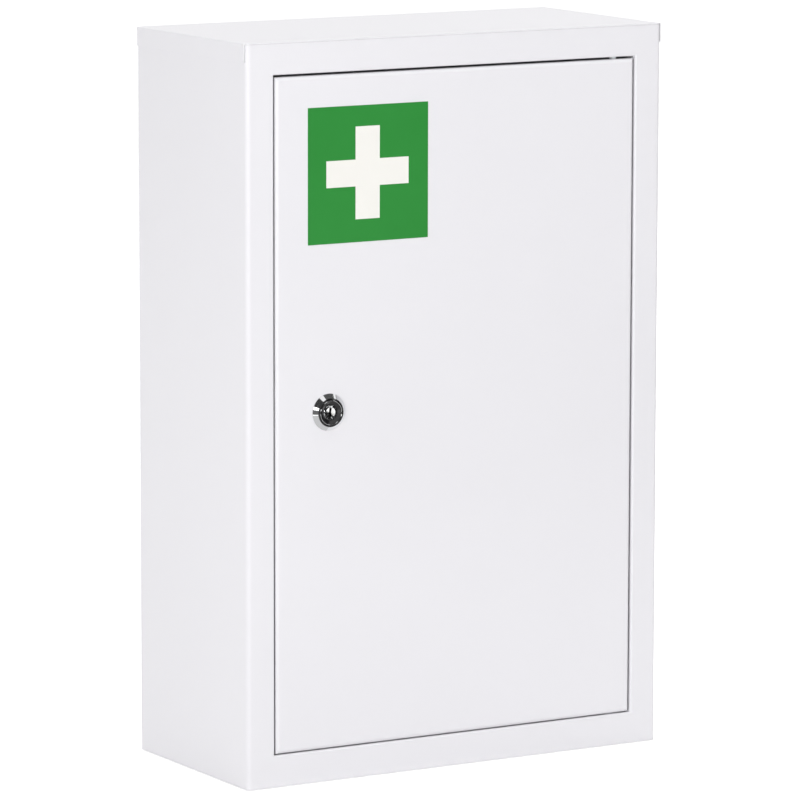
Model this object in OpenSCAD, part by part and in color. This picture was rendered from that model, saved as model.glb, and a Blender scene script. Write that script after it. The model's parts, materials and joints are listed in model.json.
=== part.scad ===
// Lockable wall cabinet for medicines, folded from sheet steel. Millimetres, +Z up.
// The origin is the centre of the underside. The door faces -Y, the wall is behind +Y.
// The door hangs on two pivot pins at its right. A cam lock at its left holds it behind the stop lip.

/* [Casing] */
// Width over the lid's side laps
width = 300; // [240:1:500]
// Depth from the front frame to the wall
depth = 140; // [110:1:250]
// Height from the underside to the top of the lid
height = 460; // [400:1:800]
// Thickness of the sheet steel
sheet = 0.8; // [0.6:0.1:1.2]
// Outside radius of the casing's front bends
bend = 3; // [1.6:0.1:3.6]
// Width of the front frame round the door opening
frame_w = 20; // [16:1:40]
// Outside radius of the bend from the front frame into the jambs
jamb_bend = 1.5; // [1.4:0.1:2]
// Space between the back of the door and the stop lip
stop_gap = 2.2; // [1.6:0.1:4]
// Width of the stop lip behind the door's lock side
stop_lip = 8; // [7:0.5:12]
// Depth of the lid's laps and of the bottom tray's flanges
lap = 12; // [8:0.5:16]
// Distance from the front face back to the front ends of the lid's side laps
lap_setback = 1.9; // [1:0.1:4]
// Width of the rear flanges that the back panel is welded to
flange = 15; // [10:0.5:25]
// Inside radius of the tight bends
tight = 0.3; // [0.2:0.1:0.6]
// Clearance between sheets that are welded together
fit = 0.1; // [0.05:0.05:0.3]

/* [Wall screws] */
// Radius of the four wall-screw holes
wall_hole_r = 3; // [2:0.25:5]
// Distance of the wall-screw holes from the cabinet's sides
wall_hole_side = 50; // [30:1:80]
// Distance of the wall-screw holes from the top and the underside
wall_hole_end = 50; // [30:1:80]

/* [Shelves] */
// Height of the bottom compartment, up to the top of the lower shelf
lower_tier = 153; // [80:1:180]
// Height of the top compartment, down to the top of the upper shelf
upper_tier = 153; // [80:1:180]
// Distance of the shelves' front edge behind the front frame
shelf_setback = 25; // [23:1:60]
// Depth of the shelves' front lip and side flanges
shelf_lip = 12; // [8:0.5:20]
// Width of the hem behind the front lip
shelf_hem = 6; // [4:0.5:10]
// Height of the upstand at the back of the shelves
shelf_upstand = 10; // [6:0.5:20]

/* [Door] */
// Gap at each side of the door
gap_beside = 1; // [0.9:0.1:2.5]
// Gap above the door
gap_above = 1.3; // [0.8:0.1:2.5]
// Gap below the door, which rests on its lower pin
gap_below = 0.5; // [0.5:0.1:2.5]
// Depth of the folded door pan
door_d = 14; // [12:0.5:20]
// Outside radius of the door's bends
door_bend = 2.6; // [1.3:0.1:3]
// Width of the return lip round the back of the door
door_lip = 10; // [8:0.5:14]

/* [Hinge] */
// Distance of the pivot from the door's right edge
hinge_inset = 13; // [12:0.5:18]
// Distance of the pivot behind the door's face
hinge_back = 4.75; // [4.75:0.25:6.5]
// Radius of the pin's shank, which shows in the gap
pin_r = 1.5; // [1.3:0.1:2]
// Radius of the pin's spindle, which the door turns on
spindle_r = 1.1; // [0.8:0.1:1.2]
// Radius of the pin's head
pin_head_r = 3; // [2.5:0.1:3.6]
// Thickness of the pin's head
pin_head_t = 1.2; // [0.8:0.1:2]
// Length of the spindle past the clip
spindle_tip = 0.8; // [0.4:0.1:2]
// Play of the door between its two pins
end_play = 0.2; // [0.1:0.05:0.5]
// Running clearance on radius
running = 0.05; // [0.03:0.01:0.1]
// Radius of the push-on clip
clip_r = 3.2; // [2.6:0.1:4]
// Thickness of the push-on clip
clip_t = 0.5; // [0.4:0.1:0.8]
// Distance of the push-on clip from the hinge plate
clip_gap = 0.3; // [0.2:0.05:0.6]
// Thickness of the hinge plate
plate_t = 2; // [1.5:0.25:3]
// Length of the hinge plate's arm along the door's end
plate_arm = 24; // [20:1:40]
// Length of the hinge plate's leg down the door's side
plate_leg = 26; // [16:1:40]

/* [Buffers] */
// Distance of the rubber buffers from the ends of the opening
buffer_end = 60; // [20:1:120]
// Radius of a buffer's head
buffer_r = 3.2; // [2.6:0.1:3.4]
// Radius of a buffer's neck in the stop lip
buffer_neck_r = 1.6; // [1.2:0.1:2]
// Length of a buffer's barb behind the stop lip
buffer_barb = 2.4; // [1.6:0.2:4]
// Radius of a buffer's barb where it grips the stop lip
buffer_barb_r = 2.2; // [2:0.1:2.8]
// Space between the buffers and the closed door
buffer_gap = 0.3; // [0.2:0.1:0.6]

/* [Sign] */
// Width of the green label
sign_w = 85; // [40:1:120]
// Height of the green label
sign_h = 84; // [40:1:120]
// Distance of the label from the door's left edge
sign_side = 22.5; // [10:0.1:60]
// Distance of the label from the door's top edge
sign_top = 19.7; // [10:0.1:60]
// Thickness of the label's film
sign_t = 0.15; // [0.1:0.05:0.3]

/* [Lock body] */
// Distance of the lock's axis from the door's left edge
lock_inset = 37.1; // [32:0.1:50]
// Height of the lock above the middle of the opening
lock_rise = 1.2; // [-80:0.2:80]
// Radius of the lock's barrel
barrel_r = 8; // [7.6:0.1:9]
// Distance of the barrel's flats from its axis
barrel_flat = 6.6; // [6.2:0.1:7]
// Clearance of the barrel in its hole, bezel and nut
barrel_fit = 0.15; // [0.1:0.05:0.3]
// Radius of the bezel at the door
bezel_r = 11.5; // [10.5:0.1:14]
// Height of the bezel
bezel_h = 2.8; // [2.2:0.1:4]
// Height of the bezel's straight foot
bezel_foot = 0.4; // [0.2:0.1:0.8]
// Width of the bezel's front rim
bezel_rim = 0.4; // [0.2:0.1:0.8]
// Height of the bezel's inner seat, under the barrel's head
bezel_seat = 0.8; // [0.6:0.1:1.2]
// Thickness of the barrel's head
barrel_head = 0.8; // [0.6:0.1:1]
// Radius of the black face
face_r = 8.4; // [8.3:0.1:9.6]
// Height of the black face above the door
face_h = 3.4; // [3:0.1:5]
// Radius of the dish in the black face
dish_r = 7; // [6.4:0.1:7.4]
// Depth of the dish
dish_d = 1.3; // [0.8:0.1:1.5]
// Slope of the dish's wall, as a run on radius
dish_slope = 2; // [0.2:0.1:2.1]
// Inside radius of the bright trim ring
trim_r = 7.2; // [7.1:0.1:8]
// Width of the bright trim ring
trim_w = 0.5; // [0.3:0.1:0.8]
// Depth that the trim ring sits in the face
trim_d = 0.4; // [0.3:0.1:0.6]
// Height that the trim ring's bead stands proud
trim_proud = 0.15; // [0.05:0.05:0.2]
// Width of the nut across its flats
nut_af = 20; // [18.5:0.5:24]
// Thickness of the nut
nut_t = 3.5; // [2.5:0.25:5]
// Radius of the toothed washer
washer_r = 10.4; // [10:0.1:12]
// Thickness of the toothed washer
washer_t = 0.6; // [0.4:0.1:1]
// Number of teeth round the washer
washer_teeth = 16; // [8:1:24]

/* [Lock core] */
// Radius of the plug's front
plug_r = 4.6; // [4.2:0.1:5]
// Radius of the plug inside the barrel
core_r = 5.4; // [5.2:0.1:5.8]
// Height of the plug's front above the dish
plug_proud = 0.3; // [0.1:0.1:0.8]
// Width of the keyway
key_w = 1.6; // [1.4:0.1:2.4]
// Height of the keyway
key_h = 6; // [5.6:0.1:7]
// Depth of the keyway
key_d = 9; // [6:0.5:10]
// Radius of the hollow round the keyway that guides the key in
guide_r = 3.3; // [3:0.1:3.8]
// Depth of the hollow round the keyway
guide_d = 0.7; // [0.4:0.1:1]
// Width of the notch at each end of the keyway, at its outer end
notch_w = 3; // [2:0.1:3.6]
// Depth of the notches where they meet the keyway
notch_d = 0.6; // [0.3:0.1:0.8]
// Turn of the key from open to locked, in degrees
turn = 90; // [90:90:90]
// Angle of free turn past each stop, in degrees
turn_spare = 2; // [1:0.5:4]
// Angle that the barrel's stop lug spans, in degrees
lug_angle = 86; // [60:1:90]
// Wall of the barrel that the stop washer's hub turns inside
lug_wall = 1.9; // [1.6:0.1:2]
// Thickness of the stop washer
stop_t = 1; // [0.8:0.1:1.6]
// Space between the stop lip and the cam
cam_gap = 0.4; // [0.2:0.1:1]
// Side of the plug's square tail
tail = 6.6; // [6:0.1:7]
// Clearance round the square tail
tail_fit = 0.05; // [0.03:0.01:0.1]
// Reach of the cam from the lock's axis
cam_reach = 34.5; // [33:0.5:36]
// Width of the cam
cam_w = 13; // [11:0.5:15]
// Thickness of the cam
cam_t = 2; // [1.5:0.25:3]
// Corner radius of the cam's tip
cam_corner = 3; // [1:0.5:5]
// Radius of the washer under the cam screw
cam_washer_r = 5.5; // [5:0.1:7]
// Thickness of the washer under the cam screw
cam_washer_t = 0.8; // [0.5:0.1:1.2]
// Radius of the cam screw's shank
screw_r = 1.95; // [1.5:0.05:2.2]
// Radius of the cam screw's head
screw_head_r = 3.8; // [3.2:0.1:4.5]
// Height of the cam screw's head
screw_head_h = 2.2; // [1.6:0.1:3]
// Length of the cam screw in the plug
screw_grip = 7; // [4:0.5:8]

/* [Hidden] */
$fn = 64;
// Extra length of a cutting tool past the surface that it cuts
past = 1;

// Casing
front_y = -depth / 2;
wall_y = depth / 2;
shell_w = width - 2 * (sheet + fit);
shell_h = height - sheet - fit;
inner_w = shell_w - 2 * sheet;
tight_out = tight + sheet;
opening_w = width - 2 * frame_w;
opening_h = height - 2 * frame_w;
opening_z = height / 2;
jamb_d = door_d + stop_gap + sheet;
tray_w = inner_w - 2 * fit;
tray_y = front_y + sheet + fit;
back_w = shell_w - 2 * max(tight_out, 2 * sheet + fit) - 2 * fit;
back_h = height - 2 * (tight_out + fit);
back_y = wall_y - 2 * sheet;

// Shelves
shelf_w = inner_w - 2 * fit;
shelf_y0 = front_y + shelf_setback;
shelf_y1 = back_y - fit;
lower_shelf_z = lower_tier;
upper_shelf_z = height - upper_tier;

// Door
door_w = opening_w - 2 * gap_beside;
door_h = opening_h - gap_above - gap_below;
door_z = opening_z + (gap_below - gap_above) / 2;

// Hinge
hinge_x = door_w / 2 - hinge_inset;
hinge_y = front_y + hinge_back;
plate_y0 = front_y + door_bend + fit;
plate_y1 = front_y + door_d - door_bend - fit;

// Buffers
buffer_x = -opening_w / 2 + tight + stop_lip / 2;
buffer_y = front_y + door_d + stop_gap;

// Lock: heights along its axis, outwards from the door's face
lock_x = -door_w / 2 + lock_inset;
lock_z = opening_z + lock_rise;
hole_r = barrel_r + barrel_fit;
hole_flat = barrel_flat + barrel_fit;
face_z = bezel_seat + barrel_head;
dish_z = face_h - dish_d;
neck_z = bezel_seat - fit;
cam_z = -(jamb_d + cam_gap);
stop_z = cam_z + stop_t;
barrel_end = stop_z + fit;
tail_end = cam_z - cam_t + fit;
cam_back = cam_z - cam_t;
screw_seat = cam_back - cam_washer_t;

// ---- Sheet-metal sections ----

function unit(v) = v / norm(v);

// Heights above the edge of the opening at the door's upper and lower pin
function gap_at(upper) = upper ? gap_above : gap_below;
function clip_at(upper) = gap_at(upper) + sheet + plate_t + clip_gap;

// A flat of a folded sheet, centred on the line from a to b
module flat(a, b) {
    run = b - a;
    translate(a)
        rotate(atan2(run.y, run.x))
            translate([0, -sheet / 2])
                square([norm(run), sheet]);
}

// A quarter-round bend at corner p, turning from direction d1 to direction d2
module bend_arc(p, d1, d2, rm) {
    c = p + rm * (d2 - d1);
    reach = rm + sheet;
    intersection() {
        translate(c)
            difference() {
                circle(rm + sheet / 2);
                circle(rm - sheet / 2);
            }
        polygon([c, c - reach * d2, c + reach * (d1 - d2), c + reach * d1]);
    }
}

// Cross-section of a folded sheet along the corners of its middle line, with one inside radius per bend
module folded(path, radii) {
    last = len(path) - 1;
    dirs = [for (i = [0:last - 1]) unit(path[i + 1] - path[i])];
    rm = [for (i = [0:last]) (i == 0 || i == last) ? 0 : radii[i - 1] + sheet / 2];
    for (i = [0:last - 1])
        flat(path[i] + rm[i] * dirs[i], path[i + 1] - rm[i + 1] * dirs[i]);
    for (i = [1:last - 1])
        bend_arc(path[i], dirs[i - 1], dirs[i], rm[i]);
}

// Waste of a rounded corner whose tip is at the origin
module corner_waste(r) {
    if (r > 0)
        difference() {
            translate([-past, -past])
                square(r + past);
            translate([r, r])
                circle(r);
        }
}

// Section w wide and d deep, with its front corners rounded by rf and its rear corners by rb
module bent_section(w, d, rf, rb) {
    difference() {
        translate([-w / 2, 0])
            square([w, d]);
        for (side = [0, 1])
            mirror([side, 0]) {
                translate([-w / 2, 0])
                    corner_waste(rf);
                translate([-w / 2, d])
                    mirror([0, 1])
                        corner_waste(rb);
            }
    }
}

// Section w wide and d deep whose front corners flare outwards, with a lead in front of it
module flared_section(w, d, r, lead) {
    translate([-w / 2, 0])
        square([w, d]);
    translate([-w / 2 - r, -lead])
        square([w + 2 * r, lead]);
    for (side = [0, 1])
        mirror([side, 0])
            translate([w / 2, 0])
                difference() {
                    square(r);
                    translate([r, r])
                        circle(r);
                }
}

// ---- Extrusions along the axes ----

module along_x(x0, x1) {
    translate([x0, 0, 0])
        rotate([90, 0, 90])
            linear_extrude(x1 - x0)
                children();
}

module along_y(y0, y1) {
    translate([0, y1, 0])
        rotate([90, 0, 0])
            linear_extrude(y1 - y0)
                children();
}

module along_z(z0, z1) {
    translate([0, 0, z0])
        linear_extrude(z1 - z0)
            children();
}

// A block centred in X and Z whose front and rear edges are bent alike on all four sides
module bent_block(w, h, d, rf, rb) {
    intersection() {
        along_z(-h / 2, h / 2)
            bent_section(w, d, rf, rb);
        along_x(-w / 2, w / 2)
            rotate(90)
                mirror([0, 1])
                    bent_section(h, d, rf, rb);
    }
}

// A block centred in X and Z whose front edges flare outwards on all four sides
module flared_block(w, h, d, r, lead) {
    intersection() {
        along_z(-h / 2 - r, h / 2 + r)
            flared_section(w, d, r, lead);
        along_x(-w / 2 - r, w / 2 + r)
            rotate(90)
                mirror([0, 1])
                    flared_section(h, d, r, lead);
    }
}

// A box from its low corner to its high corner
module block(low, high) {
    translate(low)
        cube(high - low);
}

// ---- Places ----

// On the pivot's axis at the edge of the opening, with z running into the door
module at_hinge(upper) {
    translate([hinge_x, hinge_y, opening_z + (upper ? 1 : -1) * opening_h / 2])
        mirror([0, 0, upper ? 1 : 0])
            children();
}

// On the lock's axis at the door's face, with z running outwards
module at_lock() {
    translate([lock_x, front_y, lock_z])
        rotate([90, 0, 0])
            children();
}

// On a buffer's axis at the front of the stop lip, with z running towards the door
module at_buffer(upper) {
    translate([buffer_x, buffer_y, opening_z + (upper ? 1 : -1) * (opening_h / 2 - buffer_end)])
        rotate([90, 0, 0])
            children();
}

// ---- Casing ----

// The wrap: rear flange, left side, front, right side and rear flange in one bent sheet
module shell_section() {
    x = shell_w / 2 - sheet / 2;
    y0 = front_y + sheet / 2;
    y1 = wall_y - sheet / 2;
    r = bend - sheet;
    folded([[flange - x, y1], [-x, y1], [-x, y0], [x, y0], [x, y1], [x - flange, y1]], [tight, r, r, tight]);
}

// The jambs that turn in from the front frame, closed at their corners
module jambs() {
    translate([0, front_y, opening_z])
        difference() {
            translate([0, sheet, 0])
                flared_block(opening_w + 2 * sheet, opening_h + 2 * sheet, jamb_d - sheet, jamb_bend - sheet,
                    sheet / 2);
            stop_bend_room();
        }
}

// Room at the back of the lock-side jamb for the bend of the stop lip
module stop_bend_room() {
    block([-opening_w / 2 - 2 * sheet, jamb_d - tight_out, -opening_h / 2],
        [-opening_w / 2, jamb_d + past, opening_h / 2]);
}

// The end of the lock-side jamb turned in behind the door
module stop_strip() {
    x = -opening_w / 2 - sheet / 2;
    y = front_y + jamb_d - sheet / 2;
    along_z(opening_z - opening_h / 2, opening_z + opening_h / 2)
        folded([[x, y - 2 * tight_out], [x, y], [-opening_w / 2 + stop_lip, y]], [tight]);
}

// Relief at the rear corners, where the lid's and the tray's own rear flanges fit in
module rear_relief() {
    for (z = [-past, height - lap - 4 * fit])
        block([-shell_w / 2 - past, wall_y - tight_out, z],
            [shell_w / 2 + past, wall_y + past, z + lap + 4 * fit + past]);
}

module body_shell() {
    color("whitesmoke")
        difference() {
            union() {
                difference() {
                    union() {
                        along_z(0, shell_h)
                            shell_section();
                        jambs();
                    }
                    translate([0, front_y, opening_z])
                        flared_block(opening_w, opening_h, jamb_d + past, jamb_bend, past);
                }
                stop_strip();
            }
            rear_relief();
            for (upper = [false, true]) {
                at_hinge(upper)
                    along_z(-sheet - past, past)
                        circle(pin_r + running);
                at_buffer(upper)
                    along_z(-sheet - past, past)
                        circle(buffer_neck_r + running);
            }
        }
}

// Plan of the lid: its front corners follow the shell, its laps stand outside the shell
module lid_plan() {
    translate([0, front_y])
        bent_section(shell_w, depth, bend, 0);
    translate([-width / 2, front_y + lap_setback])
        square([width, depth - lap_setback]);
}

module top_cap() {
    color("white")
        difference() {
            intersection() {
                along_y(front_y, wall_y)
                    translate([0, height])
                        mirror([0, 1])
                            bent_section(width, lap, tight_out, 0);
                along_x(-width / 2, width / 2)
                    difference() {
                        translate([front_y, height - lap])
                            square([depth, lap]);
                        translate([wall_y, height])
                            rotate(180)
                                corner_waste(tight_out);
                    }
                along_z(height - lap, height)
                    lid_plan();
            }
            intersection() {
                along_y(front_y - past, wall_y - sheet)
                    translate([0, height - sheet])
                        mirror([0, 1])
                            bent_section(width - 2 * sheet, lap, tight, 0);
                along_x(-width / 2, width / 2)
                    difference() {
                        translate([front_y - past, height - sheet - lap])
                            square([depth + past - sheet, lap]);
                        translate([wall_y - sheet, height - sheet])
                            rotate(180)
                                corner_waste(tight);
                    }
            }
            block([-width, front_y - past, height - lap - past], [width, front_y + lap_setback, height - sheet]);
            for (side = [0, 1])
                mirror([side, 0, 0])
                    block([shell_w / 2, wall_y - tight_out, height - lap - past],
                        [width, wall_y + past, height + past]);
        }
}

// The tray is bent up on all four sides; its rear flange lies in line with the shell's
module bottom_panel() {
    tray_d = wall_y - tray_y;
    mid = (wall_y + tray_y) / 2;
    color("gainsboro")
        difference() {
            translate([0, mid, 0])
                rotate([90, 0, 0])
                    bent_block(tray_w, tray_d, lap, tight_out, 0);
            translate([0, mid, sheet])
                rotate([90, 0, 0])
                    bent_block(tray_w - 2 * sheet, tray_d - 2 * sheet, lap, tight, 0);
            for (side = [-1, 1])
                translate([side * shell_w / 2, front_y, 0])
                    cube([2 * bend, 2 * bend, 3 * lap], center = true);
        }
}

module back_panel() {
    color("lightgray")
        along_y(back_y, back_y + sheet)
            difference() {
                translate([-back_w / 2, (height - back_h) / 2])
                    square([back_w, back_h]);
                for (x = [-1, 1] * (width / 2 - wall_hole_side), z = [wall_hole_end, height - wall_hole_end])
                    translate([x, z])
                        circle(wall_hole_r);
            }
}

// A shelf whose top is at height z: hem, front lip, deck and upstand in one fold, with a flange at each side
module shelf(z) {
    x = shelf_w / 2 - sheet / 2;
    y0 = shelf_y0 + sheet / 2;
    y1 = shelf_y1 - sheet / 2;
    deck = z - sheet / 2;
    foot = z - shelf_lip + sheet / 2;
    r = tight;
    along_x(-shelf_w / 2 + tight_out, shelf_w / 2 - tight_out)
        folded([[y0 + shelf_hem, foot], [y0, foot], [y0, deck], [y1, deck], [y1, deck + shelf_upstand]],
            [r, r, r]);
    for (side = [0, 1])
        mirror([side, 0, 0])
            along_y(shelf_y0 + tight_out, shelf_y1 - tight_out)
                folded([[x - flange, deck], [x, deck], [x, foot]], [r]);
}

module upper_shelf() {
    color("ghostwhite")
        shelf(upper_shelf_z);
}

module lower_shelf() {
    color("ghostwhite")
        shelf(lower_shelf_z);
}

// ---- Hinge ----

// Headed pin through the jamb. The door rests on the lower pin's shoulder and has its end play at the upper.
module hinge_pin(upper) {
    shoulder = gap_at(upper) - (upper ? end_play : 0);
    tip = clip_at(upper) + clip_t + spindle_tip;
    rotate_extrude()
        polygon([
            [0, -sheet - pin_head_t], [pin_head_r, -sheet - pin_head_t], [pin_head_r, -sheet],
            [pin_r, -sheet], [pin_r, shoulder], [spindle_r, shoulder],
            [spindle_r, tip - spindle_r / 2], [spindle_r / 2, tip], [0, tip]
        ]);
}

// Push-on clip: a flat rim with a raised collar that grips the spindle
module hinge_clip(upper) {
    clip_z = clip_at(upper);
    grip_r = spindle_r + running / 2;
    rotate_extrude()
        polygon([
            [grip_r, clip_z], [clip_r, clip_z], [clip_r, clip_z + clip_t / 2],
            [grip_r + clip_t, clip_z + clip_t], [grip_r, clip_z + clip_t]
        ]);
}

// Angle inside the corner of the door pan, with the bearing hole for the spindle
module hinge_plate(upper) {
    z0 = gap_at(upper) + sheet;
    x1 = door_w / 2 - sheet - fit - hinge_x;
    difference() {
        along_y(plate_y0 - hinge_y, plate_y1 - hinge_y)
            difference() {
                translate([x1 - plate_arm, z0])
                    square([plate_arm, plate_leg]);
                translate([x1 - plate_arm - past, z0 + plate_t])
                    square([plate_arm + past - plate_t, plate_leg]);
            }
        along_z(0, z0 + plate_leg)
            circle(spindle_r + running);
    }
}

module upper_hinge_pin() {
    color("white")
        at_hinge(true)
            hinge_pin(true);
}

module lower_hinge_pin() {
    color("white")
        at_hinge(false)
            hinge_pin(false);
}

module upper_hinge_clip() {
    color("silver")
        at_hinge(true)
            hinge_clip(true);
}

module lower_hinge_clip() {
    color("silver")
        at_hinge(false)
            hinge_clip(false);
}

module upper_hinge_plate() {
    color("lightsteelblue")
        at_hinge(true)
            hinge_plate(true);
}

module lower_hinge_plate() {
    color("lightsteelblue")
        at_hinge(false)
            hinge_plate(false);
}

// ---- Buffers ----

// Push-in rubber buffer: domed head, neck through the stop lip, and barb behind it
module door_buffer() {
    head = stop_gap - buffer_gap;
    dome_r = 2 * buffer_r;
    rotate_extrude()
        intersection() {
            square([buffer_r, head]);
            translate([0, head - dome_r])
                circle(dome_r);
        }
    rotate_extrude()
        polygon([
            [0, fit], [buffer_neck_r, fit], [buffer_neck_r, -sheet - fit], [buffer_barb_r, -sheet - fit],
            [buffer_neck_r / 2, -sheet - buffer_barb], [0, -sheet - buffer_barb]
        ]);
}

module upper_door_buffer() {
    color("dimgray")
        at_buffer(true)
            door_buffer();
}

module lower_door_buffer() {
    color("dimgray")
        at_buffer(false)
            door_buffer();
}

// ---- Door ----

module door_panel() {
    window_w = door_w - 2 * door_lip;
    window_h = door_h - 2 * door_lip;
    color("white")
        difference() {
            translate([0, front_y, door_z])
                difference() {
                    bent_block(door_w, door_h, door_d, door_bend, door_bend);
                    translate([0, sheet, 0])
                        bent_block(door_w - 2 * sheet, door_h - 2 * sheet, door_d - 2 * sheet,
                            door_bend - sheet, door_bend - sheet);
                    block([-window_w / 2, door_d / 2, -window_h / 2],
                        [window_w / 2, door_d + past, window_h / 2]);
                }
            for (upper = [false, true])
                at_hinge(upper)
                    along_z(0, gap_at(upper) + 2 * sheet)
                        circle(spindle_r + running);
            at_lock()
                along_z(-sheet - past, past)
                    double_flat(hole_r, hole_flat);
        }
}

module sign_label() {
    x0 = -door_w / 2 + sign_side;
    z1 = door_z + door_h / 2 - sign_top;
    color("seagreen")
        block([x0, front_y - sign_t, z1 - sign_h], [x0 + sign_w, front_y, z1]);
}

// ---- Lock body ----

// Round section with a flat above and below
module double_flat(r, flat_at) {
    intersection() {
        circle(r);
        square([2 * r, 2 * flat_at], center = true);
    }
}

module lock_bezel() {
    rim_r = face_r + fit + bezel_rim;
    color("gainsboro")
        at_lock()
            rotate_extrude()
                polygon([
                    [hole_r, 0], [bezel_r, 0], [bezel_r, bezel_foot], [rim_r, bezel_h],
                    [face_r + fit, bezel_h], [face_r + fit, bezel_seat], [hole_r, bezel_seat]
                ]);
}

// The stop lug on the barrel's rear end, in the round part beside the flats
module stop_lug() {
    reach = 2 * barrel_r;
    half = lug_angle / 2;
    along_z(cam_z + fit, barrel_end)
        intersection() {
            difference() {
                circle(barrel_r);
                circle(barrel_r - lug_wall + running);
            }
            polygon([[0, 0], reach * [cos(half), -sin(half)], [reach, 0], reach * [cos(half), sin(half)]]);
        }
}

module lock_housing() {
    color("darkgray")
        at_lock() {
            difference() {
                union() {
                    along_z(barrel_end, bezel_seat)
                        double_flat(barrel_r, barrel_flat);
                    along_z(bezel_seat, face_z)
                        circle(face_r);
                }
                along_z(barrel_end - past, neck_z)
                    circle(core_r + running);
                along_z(0, face_z + past)
                    circle(plug_r + running);
            }
            stop_lug();
        }
}

module lock_face() {
    color("black")
        at_lock()
            rotate_extrude()
                polygon([
                    [plug_r + fit, face_z], [face_r, face_z], [face_r, face_h - fit], [face_r - fit, face_h],
                    [trim_r + trim_w, face_h], [trim_r + trim_w, face_h - trim_d], [trim_r, face_h - trim_d],
                    [trim_r, face_h], [dish_r, face_h], [dish_r - dish_slope, dish_z], [plug_r + fit, dish_z]
                ]);
}

module lock_trim_ring() {
    color("silver")
        at_lock()
            rotate_extrude()
                translate([trim_r, face_h])
                    polygon([
                        [0, -trim_d], [trim_w, -trim_d], [trim_w, 0], [trim_w - trim_proud, trim_proud],
                        [trim_proud, trim_proud], [0, 0]
                    ]);
}

module lock_washer() {
    tooth = PI * washer_r / washer_teeth;
    color("silver")
        at_lock()
            along_z(-sheet - washer_t, -sheet)
                difference() {
                    circle(washer_r);
                    circle(hole_r);
                    for (i = [0:washer_teeth - 1])
                        rotate(i * 360 / washer_teeth)
                            translate([washer_r, 0])
                                square([tooth, tooth], center = true);
                }
}

module lock_nut() {
    z1 = -sheet - washer_t;
    corner = nut_af / 2 / cos(30);
    color("gray")
        at_lock()
            difference() {
                intersection() {
                    along_z(z1 - nut_t, z1)
                        circle(corner, $fn = 6);
                    translate([0, 0, z1])
                        rotate_extrude()
                            polygon([
                                [0, 0], [corner, 0], [corner, tight_out - nut_t], [nut_af / 2, -nut_t],
                                [0, -nut_t]
                            ]);
                }
                along_z(z1 - nut_t - past, z1 + past)
                    circle(hole_r);
            }
}

// ---- Lock core, which turns with the key ----

// Notch at the end of the keyway, widening and rising outwards to the rim of the plug's front
module key_notch(front) {
    run = plug_r - plug_proud - key_h / 2;
    translate([0, key_h / 2, front - notch_d])
        rotate([atan2(notch_d, run), 0, 0])
            linear_extrude(plug_r)
                polygon([[-key_w / 2, -fit], [key_w / 2, -fit], [notch_w / 2, run], [-notch_w / 2, run]]);
}

module lock_plug() {
    front = dish_z + plug_proud;
    color("silver")
        at_lock()
            difference() {
                union() {
                    rotate_extrude()
                        polygon([
                            [0, stop_z], [core_r, stop_z], [core_r, neck_z - fit], [plug_r, neck_z - fit],
                            [plug_r, front - plug_proud], [plug_r - plug_proud, front], [0, front]
                        ]);
                    along_z(tail_end, stop_z)
                        square(tail, center = true);
                }
                rotate_extrude()
                    polygon([
                        [0, front - guide_d], [guide_r, front], [guide_r, front + past], [0, front + past]
                    ]);
                along_z(front - key_d, front + past)
                    square([key_w, key_h], center = true);
                for (end = [0, 1])
                    mirror([0, end, 0])
                        key_notch(front);
                along_z(tail_end - past, screw_seat + screw_grip)
                    circle(screw_r + fit);
            }
}

// Half a disc round a hub: its straight edges meet the housing's lug at each end of the turn
module stop_washer() {
    hub = barrel_r - lug_wall - running;
    start = lug_angle / 2 + turn + turn_spare;
    span = 360 - turn - lug_angle - 2 * turn_spare;
    color("goldenrod")
        at_lock()
            along_z(cam_z, stop_z)
                difference() {
                    union() {
                        circle(hub);
                        intersection() {
                            circle(barrel_r);
                            rotate(start + span / 2)
                                translate([0, -barrel_r])
                                    square([barrel_r, 2 * barrel_r]);
                        }
                    }
                    square(tail + 2 * tail_fit, center = true);
                }
}

// The cam hangs straight down while the lock is open
module lock_cam() {
    color("slategray")
        at_lock()
            along_z(cam_back, cam_z)
                difference() {
                    union() {
                        circle(cam_w / 2);
                        translate([0, -cam_reach])
                            bent_section(cam_w, cam_reach, cam_corner, 0);
                    }
                    square(tail + 2 * tail_fit, center = true);
                }
}

module cam_washer() {
    color("silver")
        at_lock()
            along_z(screw_seat, cam_back)
                difference() {
                    circle(cam_washer_r);
                    circle(screw_r + fit);
                }
}

module cam_screw() {
    color("lightgray")
        at_lock()
            difference() {
                rotate_extrude()
                    union() {
                        intersection() {
                            translate([0, screw_seat - screw_head_h])
                                square([screw_head_r, screw_head_h]);
                            translate([0, screw_seat - screw_head_h + 2 * screw_head_r])
                                circle(2 * screw_head_r);
                        }
                        translate([0, screw_seat])
                            square([screw_r, screw_grip - fit]);
                    }
                for (a = [0, 90])
                    rotate(a)
                        translate([0, 0, screw_seat - screw_head_h])
                            cube([2 * screw_r, screw_r / 2, screw_head_h], center = true);
            }
}

body_shell();
top_cap();
bottom_panel();
back_panel();
upper_shelf();
lower_shelf();
upper_hinge_pin();
lower_hinge_pin();
upper_hinge_clip();
lower_hinge_clip();
upper_door_buffer();
lower_door_buffer();
door_panel();
upper_hinge_plate();
lower_hinge_plate();
sign_label();
lock_bezel();
lock_housing();
lock_face();
lock_trim_ring();
lock_washer();
lock_nut();
lock_plug();
stop_washer();
lock_cam();
cam_washer();
cam_screw();
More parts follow.
